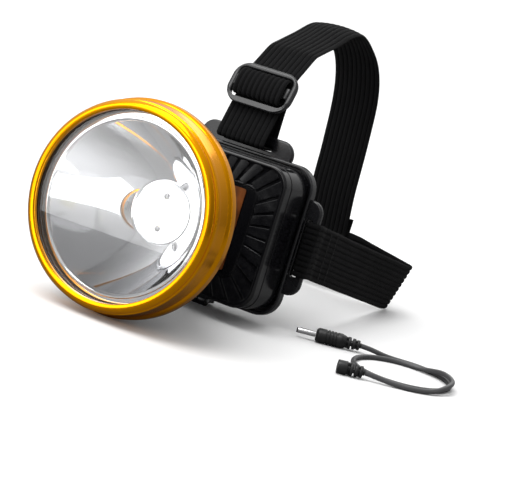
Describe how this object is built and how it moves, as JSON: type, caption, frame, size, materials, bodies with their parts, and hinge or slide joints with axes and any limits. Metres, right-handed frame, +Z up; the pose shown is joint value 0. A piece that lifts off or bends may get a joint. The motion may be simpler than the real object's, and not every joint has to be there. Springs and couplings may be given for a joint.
{
  "type": "rechargeable cap lamp",
  "caption": "Rechargeable miner's cap lamp: round gold-rimmed reflector head on a square battery case, tilting on a strap plate with elastic straps, with its charging lead.",
  "frame": {"origin": "on the ground below the middle of the lamp and its straps, leaving out the charging lead", "axes": "+Z up, -Y the way the light shines (raised by 5.6 degrees as it rests), +X to the lamp's right seen from the front"},
  "size_m": [0.1798, 0.2234, 0.1317],
  "materials": {
    "gold_metal": "gold anodised, glossy",
    "clear_lens": "clear, polished",
    "black_rubber": "matte black",
    "mirror_metal": "vacuum plated mirror",
    "white_board": "white solder mask",
    "led_phosphor": "pale yellow phosphor, lit",
    "steel": "bright zinc or nickel plated",
    "heat_sink_alloy": "machined",
    "red_wire": "insulation",
    "black_gloss": "moulded ABS, glossy",
    "black_satin": "moulded nylon, satin",
    "label_sheet": null,
    "cell_wrap": "blue shrink wrap over a metal can",
    "circuit_green": "solder mask",
    "webbing": "black ribbed elastic webbing",
    "grey_nylon": "moulded, satin",
    "foam": "black foam with knitted face"
  },
  "bodies": {
    "strap_set": {"strap_plate": "black_satin", "hinge_pin": "steel", "forehead_pad": "foam", "head_strap": "webbing", "crown_strap": "webbing", "lead_cord": "black_rubber", "plug_body": "black_rubber", "plug_barrel": "steel", "plug_insulator": "black_rubber", "lead_socket": "black_rubber"},
    "lamp": {"bezel_ring": "gold_metal", "lens": "clear_lens", "lens_seal": "black_rubber", "reflector": "mirror_metal", "led_board": "white_board", "led_chip": "led_phosphor", "led_screw_upper": "steel", "led_screw_lower": "steel", "heat_sink": "heat_sink_alloy", "led_wire_red": "red_wire", "led_wire_black": "black_rubber", "head_shell": "black_gloss", "neck_nut": "black_satin", "front_cover": "black_gloss", "front_label": "label_sheet", "battery_case": "black_gloss", "cell_upper": "cell_wrap", "cell_lower": "cell_wrap", "cell_strip_right": "steel", "cell_strip_left": "steel", "charge_board": "circuit_green", "charge_jack": "black_satin", "switch_body": "black_satin", "case_screw_1": "steel", "case_screw_2": "steel", "case_screw_3": "steel", "case_screw_4": "steel"},
    "switch": {"switch_button": "black_rubber"},
    "crown_slider": {"crown_slider_frame": "grey_nylon", "crown_slider_webbing": "webbing"},
    "side_slider": {"side_slider_frame": "grey_nylon", "side_slider_webbing": "webbing"}
  },
  "joints": [
    {"name": "lamp_tilt", "type": "hinge", "parent": "strap_set", "child": "lamp", "pos_m": [0.00127, -0.02058, 0.00259], "axis": [1, 0, 0], "range_deg": [0, 60]},
    {"name": "switch_press", "type": "slide", "parent": "lamp", "child": "switch", "axis": [1, 0, 0], "range_m": [0, 0.0012], "stiffness_N_per_m": 900},
    {"name": "crown_slider_adjust", "type": "slide", "parent": "strap_set", "child": "crown_slider", "axis": [0, 0.47, 0.8827], "range_m": [-0.006, 0.002]},
    {"name": "side_slider_adjust", "type": "slide", "parent": "strap_set", "child": "side_slider", "axis": [0, 0.977, -0.2133], "range_m": [-0.01, 0.01]}
  ]
}
